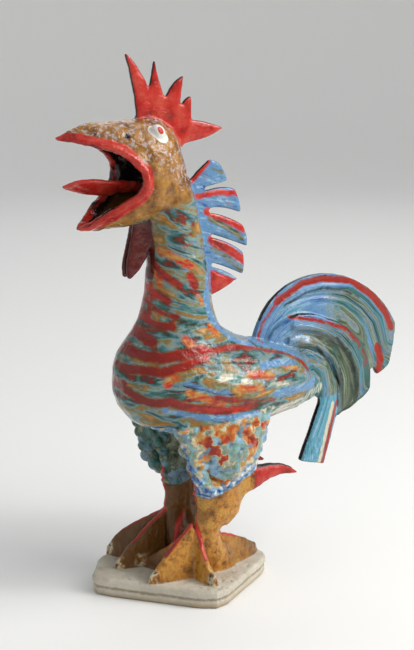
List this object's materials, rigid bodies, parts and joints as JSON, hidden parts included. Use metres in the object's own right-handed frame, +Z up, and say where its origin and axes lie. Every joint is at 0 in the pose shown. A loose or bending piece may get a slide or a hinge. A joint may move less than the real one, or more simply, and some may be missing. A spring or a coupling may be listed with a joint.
{
  "type": "ceramic rooster sculpture",
  "caption": "Hand-built glazed stoneware rooster, beak wide open and tail curled over, fused to a flat clay slab that it stands on.",
  "frame": {"origin": "on the flat underside of the standing slab, below the middle of the body", "axes": "+Z up, the beak points along -Y, the rooster's left side faces +X"},
  "size_m": [0.1421, 0.3533, 0.5],
  "materials": {
    "glazed_stoneware": "gloss"
  },
  "bodies": {
    "root": {"rooster_on_slab": "glazed_stoneware"}
  },
  "joints": []
}
